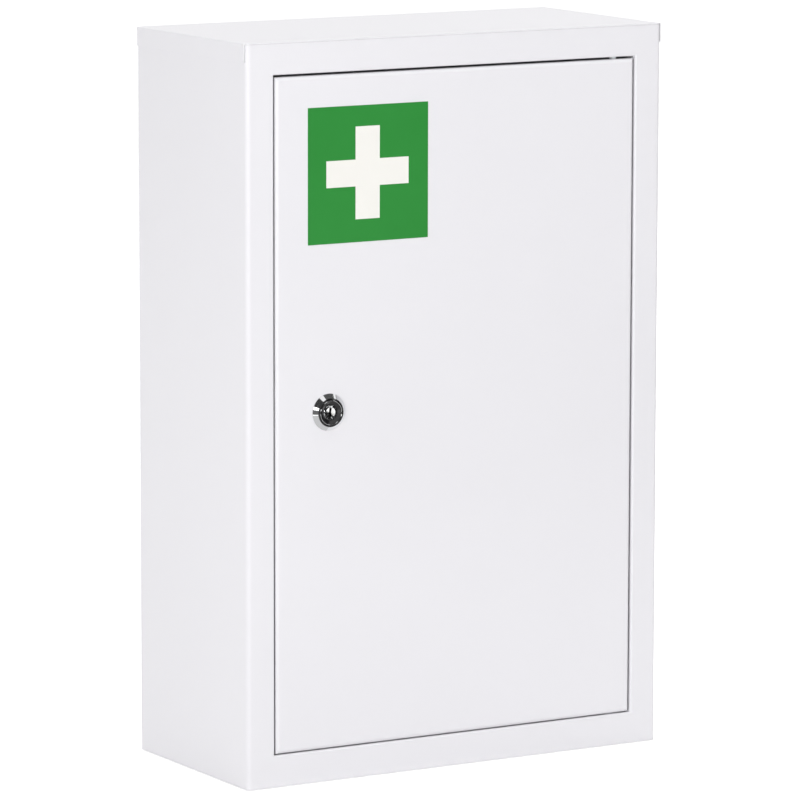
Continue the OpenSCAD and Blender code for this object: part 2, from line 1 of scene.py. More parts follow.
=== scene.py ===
# %% [markdown]
# # A lockable medicine cabinet: its finishes, small parts and studio
# The sheet-metal cabinet, its door and its cam lock arrive as finished solids, one object for each real part,
# already in place and in metres. This lesson gives every part the finish that its maker gives it, adds the
# few small things that are printed, slipped on or cut afterwards, and sets up a plain studio round it.
# The solids themselves are never moved or reshaped: a part whose form is right only needs its material.
# Each solid carries a plain material that is named after its finish. It takes a longer name here, so that the
# good material can have the short one.

# %% Load the cabinet
import bpy
import json
import math
from mathutils import Matrix, Vector

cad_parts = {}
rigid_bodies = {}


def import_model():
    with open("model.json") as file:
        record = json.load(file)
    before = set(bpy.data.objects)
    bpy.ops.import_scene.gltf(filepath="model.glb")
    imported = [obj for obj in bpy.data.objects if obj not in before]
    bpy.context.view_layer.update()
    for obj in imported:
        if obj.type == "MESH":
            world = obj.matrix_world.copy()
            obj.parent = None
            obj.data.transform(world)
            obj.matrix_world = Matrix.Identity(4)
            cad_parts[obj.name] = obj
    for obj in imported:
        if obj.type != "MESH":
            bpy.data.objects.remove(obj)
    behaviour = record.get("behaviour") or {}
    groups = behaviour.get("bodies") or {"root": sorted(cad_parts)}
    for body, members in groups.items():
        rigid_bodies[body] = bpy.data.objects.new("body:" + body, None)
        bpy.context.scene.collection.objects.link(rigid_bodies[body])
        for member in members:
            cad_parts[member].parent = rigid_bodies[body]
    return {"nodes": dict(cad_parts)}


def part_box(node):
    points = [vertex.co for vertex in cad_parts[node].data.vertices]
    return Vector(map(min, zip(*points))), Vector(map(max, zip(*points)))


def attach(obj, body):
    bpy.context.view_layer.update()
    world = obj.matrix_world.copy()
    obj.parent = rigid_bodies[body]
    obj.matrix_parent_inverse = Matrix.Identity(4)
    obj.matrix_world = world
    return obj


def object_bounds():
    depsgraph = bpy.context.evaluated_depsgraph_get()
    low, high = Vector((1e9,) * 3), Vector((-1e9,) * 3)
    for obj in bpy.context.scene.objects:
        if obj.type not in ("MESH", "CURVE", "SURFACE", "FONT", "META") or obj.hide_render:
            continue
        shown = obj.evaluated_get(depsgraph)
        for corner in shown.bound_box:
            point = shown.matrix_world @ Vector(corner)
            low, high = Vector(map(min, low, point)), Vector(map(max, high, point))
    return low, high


for leftover in list(bpy.data.objects):
    bpy.data.objects.remove(leftover)
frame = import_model()
solids = frame["nodes"]
for plain in list(bpy.data.materials):
    plain.name = plain.name + "_plain"
cad_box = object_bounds()
print("box in mm:", [[round(1000 * c, 2) for c in corner] for corner in cad_box])

# %% [markdown]
# ## The camera
# A long lens from three and a half metres away keeps the cabinet's upright edges almost parallel, as a
# catalogue picture has them. The camera stands to the left and a little above. Its three axes are worked out
# from the turn, the tilt and a hair of roll, and written into its matrix, so nothing has to be aimed by eye.
# The Standard view transform shows a colour as it is written.

# %% Place the camera
TURN, TILT, ROLL = (math.radians(a) for a in (30.564, 8.778, 0.107))
LENS_MM, SENSOR_MM = 253.83, 36
DISTANCE, ASIDE, BELOW = 3.5648, 0.00018, 0.00764
MIDDLE = Vector((0, 0, cad_box[1].z / 2))
ahead = Vector((math.sin(TURN) * math.cos(TILT), math.cos(TURN) * math.cos(TILT), -math.sin(TILT)))
level = Vector((math.cos(TURN), -math.sin(TURN), 0))
upright = level.cross(ahead)
right = math.cos(ROLL) * level + math.sin(ROLL) * upright
above = -math.sin(ROLL) * level + math.cos(ROLL) * upright
eye = MIDDLE + ASIDE * right - BELOW * above - DISTANCE * ahead

lens = bpy.data.cameras.new("studio_camera")
lens.lens, lens.sensor_width = LENS_MM, SENSOR_MM
lens.clip_start, lens.clip_end = 0.1, 30
camera = bpy.data.objects.new("studio_camera", lens)
camera.matrix_world = Matrix.Translation(eye) @ Matrix((right, above, -ahead)).transposed().to_4x4()
bpy.context.scene.collection.objects.link(camera)
bpy.context.scene.camera = camera
bpy.context.scene.view_settings.view_transform = "Standard"
print("camera at", [round(c, 3) for c in eye], "lens", lens.lens)

# %% [markdown]
# ## Helpers for node trees
# Every finish below is a small graph of nodes. `tie` feeds one input, from another node's output or with a
# plain value. `put` adds a node, makes its settings by keyword and then feeds its inputs by name or number.
# The rest are short names for single nodes, or for a few nodes that always go together.

# %% Helpers for nodes
def tie(tree, source, target):
    if isinstance(source, bpy.types.NodeSocket):
        tree.links.new(source, target)
    else:
        target.default_value = source


def put(tree, kind, inputs=None, **settings):
    node = tree.nodes.new(kind)
    for name, value in settings.items():
        setattr(node, name, value)
    for name, value in (inputs or {}).items():
        tie(tree, value, node.inputs[name])
    return node


def calc(tree, operation, first, second=0.0, clamp=False):
    """One step of arithmetic on outputs or numbers."""
    return put(tree, "ShaderNodeMath", {0: first, 1: second}, operation=operation, use_clamp=clamp).outputs[0]


def length_of(tree, across, upward):
    """The length of the slanted side of a right-angled triangle."""
    squares = [calc(tree, "MULTIPLY", side, side) for side in (across, upward)]
    return calc(tree, "SQRT", calc(tree, "ADD", *squares))


def spread(tree, value, low, high):
    """Maps 0 to 1 onto low to high."""
    return put(tree, "ShaderNodeMapRange", {"Value": value, "To Min": low, "To Max": high}).outputs["Result"]


def ease(tree, value, start, end, first=0.0, last=1.0):
    """Goes softly from first to last while the value goes from start to end."""
    return put(tree, "ShaderNodeMapRange",
               {"Value": value, "From Min": start, "From Max": end, "To Min": first, "To Max": last},
               interpolation_type="SMOOTHSTEP").outputs["Result"]


def blend_colours(tree, factor, first, second):
    """Mixes two colours, each an output or three numbers."""
    node = put(tree, "ShaderNodeMix", {0: factor}, data_type="RGBA")
    for socket, colour in ((node.inputs[6], first), (node.inputs[7], second)):
        tie(tree, (*colour, 1) if isinstance(colour, tuple) else colour, socket)
    return node.outputs[2]


def object_place(tree):
    """The shaded point in the piece's own frame, which for every piece here is the cabinet's."""
    return put(tree, "ShaderNodeTexCoord").outputs["Object"]


def object_xyz(tree):
    """That point's three coordinates, as three outputs."""
    return put(tree, "ShaderNodeSeparateXYZ", {0: object_place(tree)}).outputs


def noise(tree, where, scale, **inputs):
    """A soft random pattern of 0 to 1; the scale says how many of its spots go into a metre."""
    return put(tree, "ShaderNodeTexNoise", {"Vector": where, "Scale": scale, **inputs}).outputs[0]


print("node helpers ready")

# %% [markdown]
# An effect that several finishes share is a group: a tree of its own with named inputs and outputs, built
# once and placed in each material with that material's values. A material starts as one Principled shader,
# and `dress` joins up the three things that every finish varies: its colour, its roughness and a fine height.

# %% Helpers for groups and materials
def group_tree(name, inputs, outputs):
    """A group with named number inputs and outputs; returns it with its two end nodes."""
    tree = bpy.data.node_groups.new(name, "ShaderNodeTree")
    for label, value in inputs.items():
        socket = tree.interface.new_socket(label, in_out="INPUT", socket_type="NodeSocketFloat")
        socket.default_value = value
    for label in outputs:
        tree.interface.new_socket(label, in_out="OUTPUT", socket_type="NodeSocketFloat")
    return tree, tree.nodes.new("NodeGroupInput"), tree.nodes.new("NodeGroupOutput")


def use_group(tree, group, **values):
    """Places a group in a tree, with this material's own values."""
    return put(tree, "ShaderNodeGroup", values, node_tree=group)


def fresh_material(name, **principled):
    material = bpy.data.materials.new(name)
    material.use_nodes = True
    shader = material.node_tree.nodes["Principled BSDF"]
    for label, value in principled.items():
        shader.inputs[label.replace("_", " ")].default_value = value
    return material, material.node_tree, shader


def dress(tree, shader, colour, roughness, height, depth, strength=1.0, under=None):
    """Gives a shader its colour, its roughness and a bump: a height of 0 to 1 times a depth in metres.

    The bump may lie over another one, whose normal is given as under.
    """
    tie(tree, colour, shader.inputs["Base Color"])
    tie(tree, roughness, shader.inputs["Roughness"])
    bump = put(tree, "ShaderNodeBump", {"Height": height, "Distance": depth, "Strength": strength})
    if under:
        tie(tree, under, bump.inputs["Normal"])
    tie(tree, bump.outputs[0], shader.inputs["Normal"])


print("material helpers ready")

# %% [markdown]
# ## Effects that several finishes share
# **Orange peel** is the fine, soft unevenness that powder paint keeps when it melts and flows: dimples one to
# two millimetres apart and only a few micrometres deep. A slow second noise stands for the slight change in
# film thickness over a panel, which shows as a faint change of tone.

# %% Orange peel group
peel, peel_in, peel_out = group_tree("orange_peel", {"Dimple": 620.0, "Cloud": 7.0}, ("Height", "Tone"))
place = object_place(peel)
dimples = noise(peel, place, peel_in.outputs["Dimple"], Detail=2.0, Roughness=0.45)
clouds = noise(peel, place, peel_in.outputs["Cloud"], Detail=3.0, Roughness=0.5, Distortion=0.3)
tie(peel, dimples, peel_out.inputs["Height"])
tie(peel, clouds, peel_out.inputs["Tone"])
print("group:", peel.name, [s.name for s in peel.interface.items_tree])

# %% [markdown]
# **Thin edges**: on a sharp arris the melted powder draws back, so the film there is thinner and smoother,
# and plating is rubbed brighter by hands and cloths. The Bevel node gives a normal that is rounded over near
# an edge. Where it leaves the true normal, there is an edge, whatever the mesh's own edges are.

# %% Thin edge group
edges, edges_in, edges_out = group_tree("thin_edges", {"Width": 0.0008, "Gain": 3.0}, ("Edge",))
rounded = put(edges, "ShaderNodeBevel", {"Radius": edges_in.outputs["Width"]}, samples=4).outputs[0]
true_normal = put(edges, "ShaderNodeNewGeometry").outputs["Normal"]
agree = put(edges, "ShaderNodeVectorMath", {0: rounded, 1: true_normal}, operation="DOT_PRODUCT")
away = calc(edges, "SUBTRACT", 1.0, agree.outputs["Value"])
tie(edges, calc(edges, "MULTIPLY", away, edges_in.outputs["Gain"], clamp=True), edges_out.inputs["Edge"])
print("group:", edges.name)

# %% [markdown]
# ** Painted gap shade**: deep in narrow slots, such as the gaps round the door, the paint's colour is made darker, so that the gaps look as dark as shade makes them. This is painted shade, not a real change in the paint. An Ambient Occlusion node that looks only a few millimetres far finds these places: it is one on an open face and falls towards zero deep in a gap. In a narrow band round the door's outline, which is read from its box, the painted shade is weaker, so the doorway's walls stay lighter than the door's own edges.

# %% Painted gap shade group
BAND_MIDDLE, BAND_HALF = 0.0019, 0.0016
door_low, door_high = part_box("door_panel")
door_mid, door_half = (door_low + door_high) / 2, (door_high - door_low) / 2


def past_door(tree, along, middle, half):
    """How far a point lies beyond the door's edge in one direction; it is negative on the door."""
    return calc(tree, "SUBTRACT", calc(tree, "ABSOLUTE", calc(tree, "SUBTRACT", along, middle)), half)


painted_gap_shade, gap_shade_in, gap_shade_out = group_tree(
    "painted_gap_shade", {"Reach": 0.006, "Shut": 0.12, "Open": 0.50, "Doorway": 0.1}, ("Painted_Shade",))
# This group paints shade: its output is how far the paint's colour is darkened deep in a gap.
nearby = put(painted_gap_shade, "ShaderNodeAmbientOcclusion", {"Distance": gap_shade_in.outputs["Reach"]}, samples=6)
narrow = ease(painted_gap_shade, nearby.outputs["AO"], gap_shade_in.outputs["Shut"], gap_shade_in.outputs["Open"],
              1.0, 0.0)
x, _, z = object_xyz(painted_gap_shade)
off_door = calc(painted_gap_shade, "MAXIMUM", past_door(painted_gap_shade, x, door_mid.x, door_half.x),
                past_door(painted_gap_shade, z, door_mid.z, door_half.z))
band = put(painted_gap_shade, "ShaderNodeMath", {0: off_door, 1: BAND_MIDDLE, 2: BAND_HALF}, operation="COMPARE")
share = put(painted_gap_shade, "ShaderNodeMix",
            {"Factor": band.outputs[0], "A": 1.0, "B": gap_shade_in.outputs["Doorway"]}).outputs["Result"]
tie(painted_gap_shade, calc(painted_gap_shade, "MULTIPLY", narrow, share), gap_shade_out.inputs["Painted_Shade"])
print("group:", painted_gap_shade.name, "round a door of", [round(2000 * c, 1) for c in door_half], "mm")

# %% [markdown]
# **Fine grain** is for metal and rubber: small cells, each with its own shade, as zinc crystals or moulding
# grit have, together with a finer noise for the height.

# %% Grain group
grain, grain_in, grain_out = group_tree("fine_grain", {"Cells": 900.0, "Grit": 4000.0}, ("Shade", "Height"))
place = object_place(grain)
cells = put(grain, "ShaderNodeTexVoronoi",
            {"Vector": place, "Scale": grain_in.outputs["Cells"], "Randomness": 1.0})
one_shade = put(grain, "ShaderNodeSeparateColor", {0: cells.outputs["Color"]}).outputs[0]
grit = noise(grain, place, grain_in.outputs["Grit"], Detail=4.0, Roughness=0.6)
tie(grain, one_shade, grain_out.inputs["Shade"])
tie(grain, grit, grain_out.inputs["Height"])
print("group:", grain.name)

# %% [markdown]
# **Turned rings**: a lathe leaves fine circles round the axis. The distance from the lock's axis goes into a
# one-dimensional noise, so the shade changes along the radius and stays the same round it. The lock's axis
# is the middle of its trim ring's box, so it isn't written down a second time.

# %% Turned ring group
ring_low, ring_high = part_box("lock_trim_ring")
LOCK = (ring_low + ring_high) / 2
rings, rings_in, rings_out = group_tree("turned_rings", {"Lines": 9000.0}, ("Ring", "Radius"))
x, _, z = object_xyz(rings)
radius = length_of(rings, calc(rings, "SUBTRACT", x, LOCK.x), calc(rings, "SUBTRACT", z, LOCK.z))
line = put(rings, "ShaderNodeTexNoise",
           {"W": calc(rings, "MULTIPLY", radius, rings_in.outputs["Lines"]),
            "Scale": 1.0, "Detail": 3.0, "Roughness": 0.7}, noise_dimensions="1D")
tie(rings, line.outputs[0], rings_out.inputs["Ring"])
tie(rings, radius, rings_out.inputs["Radius"])
print("group:", rings.name, "round the axis x, z in mm:", round(1000 * LOCK.x, 3), round(1000 * LOCK.z, 3))

# %% [markdown]
# **Spot welds** join the back panel to the casing's rear flanges. Each one leaves a shallow round dent where
# the electrode pressed, and paint softens it without hiding it. They stand in two straight rows, evenly
# spaced. A ping-pong of the height runs up and down once in each pitch, which gives the distance from the
# nearest weld in the row.

# %% Spot weld group
DENT_FLOOR = 0.55
welds, welds_in, welds_out = group_tree(
    "spot_welds", {"Row": 0.1415, "Pitch": 0.066, "Radius": 0.0028, "Behind": 0.0683}, ("Dent",))
x, y, z = object_xyz(welds)
sideways = calc(welds, "SUBTRACT", calc(welds, "ABSOLUTE", x), welds_in.outputs["Row"])
half_pitch = calc(welds, "MULTIPLY", welds_in.outputs["Pitch"], 0.5)
along = calc(welds, "SUBTRACT", half_pitch, calc(welds, "PINGPONG", z, half_pitch))
flat_radius = calc(welds, "MULTIPLY", welds_in.outputs["Radius"], DENT_FLOOR)
dent = ease(welds, length_of(welds, sideways, along), flat_radius, welds_in.outputs["Radius"], 1.0, 0.0)
at_back = calc(welds, "GREATER_THAN", y, welds_in.outputs["Behind"])
tie(welds, calc(welds, "MULTIPLY", dent, at_back), welds_out.inputs["Dent"])
print("group:", welds.name)

# %% [markdown]
# **Handling** is what fingers leave: soft smears a few millimetres wide that dull a polish a little, and hair
# scratches. A noise that is stretched fifty times along one slant, and kept only where it peaks, gives short
# straight hairs a few hundredths of a millimetre wide. Two slants cross each other. A Mapping node of the
# texture kind turns first and stretches afterwards, so each stretch follows its slant, and the stretch in
# depth keeps a hair in one piece where it runs over the bezel's cone.

# %% Handling group
STRETCH, PEAK_FROM, PEAK_FULL = (1.0, 40.0, 50.0), 0.68, 0.74
touch, touch_in, touch_out = group_tree("handling", {"Smear": 130.0}, ("Smear", "Scratch"))
place = object_place(touch)
smears = noise(touch, place, touch_in.outputs["Smear"], Detail=2.0, Distortion=0.8)
hairs = []
for slant, fineness in ((0.5, 9000.0), (2.1, 12000.0)):
    turned = put(touch, "ShaderNodeMapping",
                 {"Vector": place, "Rotation": (0.0, slant, 0.0), "Scale": STRETCH}, vector_type="TEXTURE")
    hairs.append(ease(touch, noise(touch, turned.outputs[0], fineness, Detail=1.0), PEAK_FROM, PEAK_FULL))
tie(touch, smears, touch_out.inputs["Smear"])
tie(touch, calc(touch, "MAXIMUM", *hairs), touch_out.inputs["Scratch"])
print("group:", touch.name)

# %% [markdown]
# ## White powder coat
# The casing, the door, the shelves and the hinge's pins and plates all get the same cool white polyester
# powder. Its gloss is a satin one. The base colour is light but not full white, so that the lit faces keep
# their shading.
# The weld dents are the deeper bump, and the orange peel lies over them as the paint does.

# %% White powder coat
# The third colour is painted shade: the dark grey that the deep gaps are painted with.
POWDER, POWDER_THIN, GAP_SHADE_GREY = (0.838, 0.829, 0.860), (0.862, 0.855, 0.876), (0.200, 0.200, 0.210)
WELD_DEPTH, PEEL_DEPTH = 0.0006, 0.00002
cloud_dark, cloud_light = (tuple(part * c for c in POWDER) for part in (0.985, 1.012))
powder, tree, shader = fresh_material("white_powder_coat")
skin = use_group(tree, peel)
rim = use_group(tree, edges, Width=0.0009, Gain=2.0)
slots = use_group(tree, painted_gap_shade)
tone = blend_colours(tree, skin.outputs["Tone"], cloud_dark, cloud_light)
tone = blend_colours(tree, rim.outputs["Edge"], tone, POWDER_THIN)
# Painted shade: deep in the gaps round the door, the colour goes towards the dark grey.
tone = blend_colours(tree, slots.outputs["Painted_Shade"], tone, GAP_SHADE_GREY)
pressed = put(tree, "ShaderNodeBump",
              {"Height": use_group(tree, welds).outputs["Dent"], "Distance": WELD_DEPTH}, invert=True)
dress(tree, shader, tone, spread(tree, skin.outputs["Tone"], 0.30, 0.38),
      skin.outputs["Height"], PEEL_DEPTH, 0.6, pressed.outputs[0])
print("finish:", powder.name)

# %% [markdown]
# ## Zinc plating and die casting
# The clips, washers, nut, cam and screw are steel with a thin bright zinc plating, which breaks the light
# into small cool and warm patches. The lock's barrel is a zinc die casting: greyer, duller and pitted by its
# mould.

# %% Zinc finishes
zinc, tree, shader = fresh_material("zinc_plated_steel", Metallic=1.0)
speck = use_group(tree, grain, Cells=700.0)
rim = use_group(tree, edges, Width=0.0004, Gain=2.5)
patches = blend_colours(tree, speck.outputs["Shade"], (0.50, 0.52, 0.56), (0.66, 0.66, 0.64))
dress(tree, shader, blend_colours(tree, rim.outputs["Edge"], patches, (0.78, 0.79, 0.80)),
      spread(tree, speck.outputs["Shade"], 0.24, 0.38), speck.outputs["Height"], 0.000008)

casting, tree, shader = fresh_material("die_cast_zinc", Metallic=1.0)
speck = use_group(tree, grain, Cells=1500.0, Grit=2600.0)
dress(tree, shader, blend_colours(tree, speck.outputs["Shade"], (0.36, 0.365, 0.38), (0.46, 0.465, 0.475)),
      spread(tree, speck.outputs["Height"], 0.36, 0.58), speck.outputs["Height"], 0.00002)
print("finishes:", zinc.name, casting.name)

# %% [markdown]
# ## Chrome
# The bezel and the trim ring are polished and chrome plated, so nearly all of their look is what they mirror.
# A faint smear, hair scratches and turned rings keep the mirror from being perfect. The plug is plated too,
# but keys have scratched it round the keyway, so it is duller there.

# %% Chrome finishes
def scratched(tree, smooth, marks, more):
    """A roughness that is higher in the hair scratches."""
    return calc(tree, "ADD", smooth, calc(tree, "MULTIPLY", marks.outputs["Scratch"], more))


chrome, tree, shader = fresh_material("polished_chrome", Metallic=1.0)
marks = use_group(tree, touch)
lathe = use_group(tree, rings)
dress(tree, shader, blend_colours(tree, marks.outputs["Smear"], (0.80, 0.81, 0.83), (0.86, 0.865, 0.87)),
      scratched(tree, spread(tree, marks.outputs["Smear"], 0.03, 0.10), marks, 0.12),
      lathe.outputs["Ring"], 0.0000004)

KEY_WEAR_R, KEY_WEAR_FULL_R = 0.0046, 0.0012
worn, tree, shader = fresh_material("plug_chrome", Metallic=1.0)
marks = use_group(tree, touch, Smear=500.0)
lathe = use_group(tree, rings, Lines=6000.0)
near_key = ease(tree, lathe.outputs["Radius"], KEY_WEAR_R, KEY_WEAR_FULL_R)
wear = calc(tree, "MULTIPLY", near_key, marks.outputs["Smear"])
dress(tree, shader, blend_colours(tree, wear, (0.80, 0.81, 0.82), (0.62, 0.61, 0.58)),
      scratched(tree, spread(tree, wear, 0.07, 0.28), marks, 0.2), lathe.outputs["Ring"], 0.000001)
print("finishes:", chrome.name, worn.name)

# %% [markdown]
# ## Black moulding and rubber
# The lock's face is a gloss black moulding that fingers and keys have marked. The buffers are dark grey
# rubber, dusty and quite without gloss.

# %% Moulded finishes
black, tree, shader = fresh_material("black_plastic")
marks = use_group(tree, touch, Smear=420.0)
skin = use_group(tree, peel, Dimple=1800.0)
dress(tree, shader, blend_colours(tree, marks.outputs["Smear"], (0.009, 0.009, 0.010), (0.016, 0.016, 0.017)),
      scratched(tree, spread(tree, marks.outputs["Smear"], 0.08, 0.2), marks, 0.15),
      skin.outputs["Height"], 0.000003)

rubber, tree, shader = fresh_material("grey_rubber", Specular_IOR_Level=0.3)
speck = use_group(tree, grain, Cells=2500.0, Grit=5200.0)
dress(tree, shader, blend_colours(tree, speck.outputs["Height"], (0.075, 0.076, 0.078), (0.13, 0.13, 0.13)),
      spread(tree, speck.outputs["Shade"], 0.72, 0.9), speck.outputs["Height"], 0.00003)
print("finishes:", black.name, rubber.name)

# %% [markdown]
# ## Film, ink and nylon
# The sign is a satin vinyl film, a shade uneven where the ink lies on it, and its cross is a warm white ink.
# The washers on the hinge pins are undyed nylon, which lets a little light in. All three have a soft skin
# with two near shades, so one function makes them.

# %% Soft finishes
def soft_finish(name, dimple, cloud, shades, roughness, depth, **principled):
    """A material with the orange peel group's unevenness, between two shades and two roughnesses."""
    material, tree, shader = fresh_material(name, **principled)
    skin = use_group(tree, peel, Dimple=dimple, Cloud=cloud)
    dress(tree, shader, blend_colours(tree, skin.outputs["Tone"], *shades),
          spread(tree, skin.outputs["Height"], *roughness), skin.outputs["Height"], depth)
    return material


green = soft_finish("green_vinyl", 1500.0, 24.0, ((0.017, 0.238, 0.029), (0.027, 0.276, 0.043)),
                    (0.38, 0.50), 0.000006, Specular_IOR_Level=0.45)
print_white = soft_finish("sign_white", 1500.0, 40.0, ((0.885, 0.870, 0.825), (0.905, 0.893, 0.852)),
                          (0.42, 0.54), 0.000006, Specular_IOR_Level=0.4)
nylon = soft_finish("natural_nylon", 2600.0, 300.0, ((0.86, 0.86, 0.83), (0.90, 0.90, 0.88)),
                    (0.35, 0.5), 0.000004, Subsurface_Weight=0.2)
print("finishes:", green.name, print_white.name, nylon.name)

# %% [markdown]
# ## Put the finishes on the parts
# The record of the cabinet names a finish for each part, and the plain material in the part's slot still has
# that name in it. The good material of the same name takes its place.

# %% Give every part its finish
for part in solids.values():
    for slot in part.material_slots:
        slot.material = bpy.data.materials[slot.material.name.removesuffix("_plain")]
for finish in (powder, zinc, casting, chrome, worn, black, rubber, green):
    print(finish.name, "on", sum(p.material_slots[0].material == finish for p in solids.values()), "parts")

# %% [markdown]
# ## Modelling helpers
# New pieces are shaped in edit mode. An operator works on whatever is selected, so each piece starts with
# nothing selected, and the next faces or edges are picked by where they are.

# %% Helpers for modelling
SMOOTH_BELOW = math.radians(30)


def alone(piece=None):
    """Leaves only this piece selected and active."""
    bpy.ops.object.select_all(action="DESELECT")
    if piece:
        piece.select_set(True)
        bpy.context.view_layer.objects.active = piece


def pick(piece, kind, test):
    """In edit mode, selects just the edges or faces whose middle passes a test.

    The test is also given an edge's direction or a face's normal.
    """
    bpy.ops.mesh.select_mode(type=kind)
    bpy.ops.mesh.select_all(action="DESELECT")
    bpy.ops.object.mode_set(mode="OBJECT")
    mesh = piece.data
    if kind == "EDGE":
        for edge in mesh.edges:
            a, b = (mesh.vertices[end].co for end in edge.vertices)
            edge.select = test((a + b) / 2, (b - a).normalized())
    else:
        for face in mesh.polygons:
            face.select = test(face.center, face.normal)
    bpy.ops.object.mode_set(mode="EDIT")


def face_outwards():
    """In edit mode, turns every face outwards, and goes back to object mode."""
    bpy.ops.mesh.select_all(action="SELECT")
    bpy.ops.mesh.normals_make_consistent(inside=False)
    bpy.ops.object.mode_set(mode="OBJECT")


def settle(piece, name, body, finish):
    """Names a piece, puts its place into its mesh, gives it its finish and lets it ride on a body."""
    piece.name = piece.data.name = name
    alone(piece)
    bpy.ops.object.transform_apply(location=True, rotation=True, scale=True)
    bpy.ops.object.shade_smooth_by_angle(angle=SMOOTH_BELOW)
    piece.data.materials.clear()
    piece.data.materials.append(finish)
    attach(piece, body)
    ways = [[v.co[i] for v in piece.data.vertices] for i in range(3)]
    print(name, len(piece.data.polygons), "faces, size in mm:",
          [round(1000 * (max(way) - min(way)), 2) for way in ways])


print("modelling helpers ready")

# %% [markdown]
# ## The white cross
# First-aid signs carry a plain cross with four equal arms. It is printed on the green film, a little above
# its middle. Here a small square is the crossing of the arms. Each of its four edges is picked by its place
# and extruded outwards, and the whole cross then gets the thickness of an ink film.

# %% White cross
CROSS_X, CROSS_Z = -0.0645, 0.3776
ARM_W, ARM_H, SPAN_W, SPAN_H, INK = 0.0171, 0.0165, 0.0582, 0.05705, 0.00006
NEAR = 0.00001
sign_low, sign_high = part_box("sign_label")
print("sign in mm:", [round(1000 * c, 2) for c in sign_high - sign_low])

alone()
bpy.ops.mesh.primitive_plane_add(size=1, location=(CROSS_X, sign_low.y, CROSS_Z),
                                 rotation=(math.pi / 2, 0, 0))
cross = bpy.context.object
cross.scale = (ARM_W, ARM_H, 1)
bpy.ops.object.transform_apply(location=True, rotation=True, scale=True)
bpy.ops.object.mode_set(mode="EDIT")
arm_out_w, arm_out_h = (SPAN_W - ARM_W) / 2, (SPAN_H - ARM_H) / 2
for x, z in ((-1, 0), (1, 0), (0, -1), (0, 1)):
    spot = Vector((CROSS_X + x * ARM_W / 2, sign_low.y, CROSS_Z + z * ARM_H / 2))
    pick(cross, "EDGE", lambda middle, direction: (middle - spot).length < NEAR)
    bpy.ops.mesh.extrude_region_move(TRANSFORM_OT_translate={"value": (x * arm_out_w, 0, z * arm_out_h)})
bpy.ops.mesh.select_all(action="SELECT")
bpy.ops.mesh.extrude_region_move(TRANSFORM_OT_translate={"value": (0, -INK, 0)})
face_outwards()
settle(cross, "sign_cross", "door", print_white)

# %% [markdown]
# ## The nylon washers on the hinge pins
# A thin nylon washer sits on each pivot pin between the door and its frame. It keeps paint from rubbing on
# paint, and it is the pale spot that shows in the dark gap. A disc is inset to the pin's size, its middle is
# deleted, and the ring is extruded to the height of its gap. A fine bevel breaks the outer corners.

# %% Pin washers
FRAME_W, WASHER_R, PIN_R, PLAY, CORNER = 0.020, 0.0022, 0.00155, 0.00004, 0.00008
doorway_low, doorway_high = cad_box[0].z + FRAME_W, cad_box[1].z - FRAME_W


def pin_washer(name, pin, floor_z, top_z):
    """A ring round a hinge pin that fills the gap from one height to another, with a little play."""
    pin_low, pin_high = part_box(pin)
    axis = (pin_low + pin_high) / 2
    alone()
    bpy.ops.mesh.primitive_circle_add(vertices=64, radius=WASHER_R, fill_type="NGON",
                                      location=(axis.x, axis.y, floor_z + PLAY))
    washer = bpy.context.object
    bpy.ops.object.transform_apply(location=True, rotation=True, scale=True)
    bpy.ops.object.mode_set(mode="EDIT")
    pick(washer, "FACE", lambda middle, normal: True)
    bpy.ops.mesh.inset(thickness=WASHER_R - PIN_R)
    pick(washer, "FACE", lambda middle, normal: (middle.xy - axis.xy).length < NEAR)
    bpy.ops.mesh.delete(type="FACE")
    bpy.ops.mesh.select_all(action="SELECT")
    bpy.ops.mesh.extrude_region_move(TRANSFORM_OT_translate={"value": (0, 0, top_z - floor_z - 2 * PLAY)})
    face_outwards()
    bpy.ops.object.mode_set(mode="EDIT")
    pick(washer, "EDGE", lambda middle, direction:
         abs(direction.z) < 0.5 and (middle.xy - axis.xy).length > 0.99 * WASHER_R)
    bpy.ops.mesh.bevel(offset=CORNER, segments=2, affect="EDGES")
    bpy.ops.object.mode_set(mode="OBJECT")
    settle(washer, name, "cabinet", nylon)


pin_washer("lower_pin_washer", "lower_hinge_pin", doorway_low, door_low.z)
pin_washer("upper_pin_washer", "upper_hinge_pin", door_high.z, doorway_high)

# %% [markdown]
# ## The thread on the lock's barrel
# With the door open, the barrel shows behind its nut, and the nut runs on a thread of one millimetre. The
# thread's profile is a triangle: a three-sided circle, squashed to the thread's width and height. In a circle
# of radius one, half of such a triangle's base is the sine of sixty degrees, and its height is one and a
# half. The base lies a hair inside the barrel, so only the ridge stands out. The thread starts behind the nut
# and may run as far as the stop washer, with a little room at both ends.

# %% Thread profile
PITCH, RIDGE_HALF, RIDGE_H, BASE_R, CLEAR = 0.001, 0.00048, 0.0003, 0.00796, 0.0008
UNIT_HALF, UNIT_H = math.sin(math.pi / 3), 1.5
thread_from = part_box("lock_nut")[1].y + CLEAR
thread_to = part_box("stop_washer")[0].y - CLEAR
turns = math.floor((thread_to - thread_from) / PITCH)

alone()
bpy.ops.mesh.primitive_circle_add(vertices=3, radius=1, location=(LOCK.x, thread_from, LOCK.z),
                                  rotation=(0, 0, -math.pi / 2))
thread = bpy.context.object
thread.scale = (RIDGE_HALF / UNIT_HALF, RIDGE_H / UNIT_H, 1)
bpy.ops.object.transform_apply(location=False, rotation=True, scale=True)
bpy.ops.object.mode_set(mode="EDIT")
bpy.ops.mesh.select_all(action="SELECT")
bpy.ops.transform.translate(value=(BASE_R + RIDGE_H / 3, 0, 0))
bpy.ops.object.mode_set(mode="OBJECT")
print("thread of", turns, "turns from y in mm:", round(1000 * thread_from, 2))

# %% [markdown]
# A Screw modifier winds the profile round the lock's axis and moves it on by one pitch in each turn, which is
# just what a thread is. The two open ends get a face each, and two cuts take the ridge away where the barrel
# is flat.

